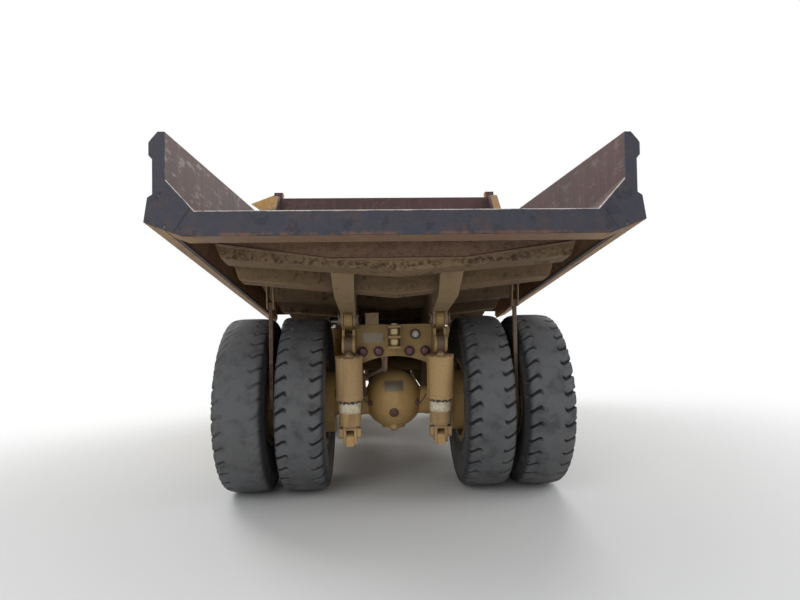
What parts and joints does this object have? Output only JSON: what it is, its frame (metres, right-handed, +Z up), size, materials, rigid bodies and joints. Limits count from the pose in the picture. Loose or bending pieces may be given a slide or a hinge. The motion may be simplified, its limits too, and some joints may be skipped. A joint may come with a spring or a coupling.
{
  "type": "off-highway rigid dump truck",
  "caption": "Rigid off-highway dump truck with a raising rock body, canopy, side cab, steering front wheels, twin rear wheels and telescopic hoist cylinders.",
  "frame": {"origin": "centre of the ground rectangle under the truck, on the ground", "axes": "-Y is the truck's front, +X its left side, +Z up"},
  "size_m": [4.6, 8.15, 3.98],
  "materials": {
    "black_metal": "satin",
    "body_inside": "worn to rusty plate",
    "body_outside": "faded paint with rust and dust",
    "cab_yellow": "faded",
    "chassis_yellow": "faded, dusty",
    "dash_plastic": "matt",
    "engine_metal": "oily",
    "glass": "dusty",
    "lamp_clear": "clear",
    "lamp_red": "clear red",
    "mirror_face": "moulded shell with a mirror face",
    "rim": "dusty",
    "rod_chrome": "polished",
    "seat_cover": "worn",
    "tyre": "dusty"
  },
  "bodies": {
    "chassis": {"main_frame": "chassis_yellow", "steering_beam": "chassis_yellow", "tow_hitch": "chassis_yellow", "front_bumper": "chassis_yellow", "engine_block": "engine_metal", "transmission": "engine_metal", "drive_shaft": "chassis_yellow", "rear_axle_housing": "chassis_yellow", "axle_a_frame": "chassis_yellow", "rear_strut_cylinders": "chassis_yellow", "rear_strut_rods": "chassis_yellow", "front_strut_cylinders": "chassis_yellow", "fuel_tank": "chassis_yellow", "hydraulic_tank": "chassis_yellow", "tail_lamps": "lamp_red", "radiator_grille": "black_metal", "engine_hood": "cab_yellow", "decks": "cab_yellow", "cab_shell": "cab_yellow", "cab_windows": "glass", "operator_seat": "seat_cover", "dashboard": "dash_plastic", "ladders_and_handrails": "black_metal", "mirrors": "mirror_face", "headlamps": "lamp_clear", "air_cleaners": "cab_yellow", "battery_box": "cab_yellow"},
    "door": {"cab_door": "cab_yellow", "cab_door_window": "glass"},
    "dump_body": {"body_floor": "body_inside", "body_side_left": "body_inside", "body_side_right": "body_inside", "body_front_wall": "body_inside", "body_canopy": "body_outside", "body_cross_beams": "body_outside", "body_underframe": "body_outside"},
    "tie_rod": {"tie_rod": "chassis_yellow"},
    "ejector_left": {"ejector_bar_left": "body_outside"},
    "hoist_barrel_left": {"hoist_barrel_left": "chassis_yellow"},
    "hoist_stage_left": {"hoist_stage_left": "rod_chrome"},
    "hoist_rod_left": {"hoist_rod_left": "rod_chrome"},
    "steer_barrel_left": {"steer_barrel_left": "chassis_yellow"},
    "steer_rod_left": {"steer_rod_left": "rod_chrome"},
    "knuckle_left": {"knuckle_left": "chassis_yellow"},
    "front_wheel_left": {"tyre_front_left": "tyre", "rim_front_left": "rim"},
    "rear_wheel_left": {"tyres_rear_left": "tyre", "rims_rear_left": "rim"},
    "ejector_right": {"ejector_bar_right": "body_outside"},
    "hoist_barrel_right": {"hoist_barrel_right": "chassis_yellow"},
    "hoist_stage_right": {"hoist_stage_right": "rod_chrome"},
    "hoist_rod_right": {"hoist_rod_right": "rod_chrome"},
    "steer_barrel_right": {"steer_barrel_right": "chassis_yellow"},
    "steer_rod_right": {"steer_rod_right": "rod_chrome"},
    "knuckle_right": {"knuckle_right": "chassis_yellow"},
    "front_wheel_right": {"tyre_front_right": "tyre", "rim_front_right": "rim"},
    "rear_wheel_right": {"tyres_rear_right": "tyre", "rims_rear_right": "rim"}
  },
  "joints": [
    {"name": "door_hinge", "type": "hinge", "parent": "chassis", "child": "door", "pos_m": [1.708, -2.18, 2.8], "axis": [0, 0, 1], "range_deg": [0, 85]},
    {"name": "body_raise", "type": "hinge", "parent": "chassis", "child": "dump_body", "pos_m": [0, 2.5, 1.845], "axis": [-1, 0, 0], "range_deg": [0, 53]},
    {"name": "steer_left", "type": "hinge", "parent": "chassis", "child": "knuckle_left", "pos_m": [1.12, -1.86, 0.93], "axis": [0, 0, 1], "range_deg": [-38, 38]},
    {"name": "steer_right", "type": "hinge", "parent": "chassis", "child": "knuckle_right", "pos_m": [-1.12, -1.86, 0.93], "axis": [0, 0, 1], "range_deg": [-38, 38]},
    {"name": "tie_rod_pivot", "type": "hinge", "parent": "knuckle_left", "child": "tie_rod", "pos_m": [1.12, -2.19, 0.79], "axis": [0, 0, 1], "range_deg": [-38, 38]},
    {"name": "ejector_left_hang", "type": "hinge", "parent": "dump_body", "child": "ejector_left", "pos_m": [1.235, 2.46, 2], "axis": [1, 0, 0], "range_deg": [0, 53.5]},
    {"name": "hoist_left_swing", "type": "hinge", "parent": "chassis", "child": "hoist_barrel_left", "pos_m": [0.722, 0.7, 0.71], "axis": [-1, 0, 0], "range_deg": [0, 20.37]},
    {"name": "hoist_left_first_stage", "type": "slide", "parent": "hoist_barrel_left", "child": "hoist_stage_left", "axis": [0, -0.1363, 0.9907], "range_m": [0, 0.81694]},
    {"name": "hoist_left_second_stage", "type": "slide", "parent": "hoist_stage_left", "child": "hoist_rod_left", "axis": [0, -0.1363, 0.9907], "range_m": [0, 0.81694]},
    {"name": "steer_cylinder_left_swing", "type": "hinge", "parent": "chassis", "child": "steer_barrel_left", "pos_m": [0.2, -1.56, 0.79], "axis": [0, 0, 1], "range_deg": [-3, 3]},
    {"name": "steer_cylinder_left_slide", "type": "slide", "parent": "steer_barrel_left", "child": "steer_rod_left", "axis": [0.9979, -0.0651, 0], "range_m": [-0.16, 0.16]},
    {"name": "front_wheel_left_spin", "type": "hinge", "parent": "knuckle_left", "child": "front_wheel_left", "pos_m": [1.55, -1.86, 0.93], "axis": [1, 0, 0], "continuous": true},
    {"name": "rear_wheels_left_spin", "type": "hinge", "parent": "chassis", "child": "rear_wheel_left", "pos_m": [1.235, 1.85, 0.93], "axis": [1, 0, 0], "continuous": true},
    {"name": "ejector_right_hang", "type": "hinge", "parent": "dump_body", "child": "ejector_right", "pos_m": [-1.235, 2.46, 2], "axis": [1, 0, 0], "range_deg": [0, 53.5]},
    {"name": "hoist_right_swing", "type": "hinge", "parent": "chassis", "child": "hoist_barrel_right", "pos_m": [-0.722, 0.7, 0.71], "axis": [-1, 0, 0], "range_deg": [0, 20.37]},
    {"name": "hoist_right_first_stage", "type": "slide", "parent": "hoist_barrel_right", "child": "hoist_stage_right", "axis": [0, -0.1363, 0.9907], "range_m": [0, 0.81694]},
    {"name": "hoist_right_second_stage", "type": "slide", "parent": "hoist_stage_right", "child": "hoist_rod_right", "axis": [0, -0.1363, 0.9907], "range_m": [0, 0.81694]},
    {"name": "steer_cylinder_right_swing", "type": "hinge", "parent": "chassis", "child": "steer_barrel_right", "pos_m": [-0.2, -1.56, 0.79], "axis": [0, 0, 1], "range_deg": [-3, 3]},
    {"name": "steer_cylinder_right_slide", "type": "slide", "parent": "steer_barrel_right", "child": "steer_rod_right", "axis": [-0.9979, -0.0651, 0], "range_m": [-0.16, 0.16]},
    {"name": "front_wheel_right_spin", "type": "hinge", "parent": "knuckle_right", "child": "front_wheel_right", "pos_m": [-1.55, -1.86, 0.93], "axis": [1, 0, 0], "continuous": true},
    {"name": "rear_wheels_right_spin", "type": "hinge", "parent": "chassis", "child": "rear_wheel_right", "pos_m": [-1.235, 1.85, 0.93], "axis": [1, 0, 0], "continuous": true}
  ],
  "couplings": [
    {"joint": "steer_right", "follows": "steer_left", "ratio": 1},
    {"joint": "tie_rod_pivot", "follows": "steer_left", "ratio": -1},
    {"joint": "ejector_left_hang", "follows": "body_raise", "ratio": 1},
    {"joint": "hoist_left_swing", "follows": "body_raise", "ratio": 0.38355},
    {"joint": "hoist_left_first_stage", "follows": "body_raise", "m_per_rad": 0.88085},
    {"joint": "hoist_left_second_stage", "follows": "body_raise", "m_per_rad": 0.88085},
    {"joint": "steer_cylinder_left_swing", "follows": "steer_left", "ratio": -0.029503},
    {"joint": "steer_cylinder_left_slide", "follows": "steer_left", "m_per_rad": -0.22115},
    {"joint": "ejector_right_hang", "follows": "body_raise", "ratio": 1},
    {"joint": "hoist_right_swing", "follows": "body_raise", "ratio": 0.38355},
    {"joint": "hoist_right_first_stage", "follows": "body_raise", "m_per_rad": 0.88085},
    {"joint": "hoist_right_second_stage", "follows": "body_raise", "m_per_rad": 0.88085},
    {"joint": "steer_cylinder_right_swing", "follows": "steer_left", "ratio": -0.029503},
    {"joint": "steer_cylinder_right_slide", "follows": "steer_left", "m_per_rad": 0.22115}
  ]
}
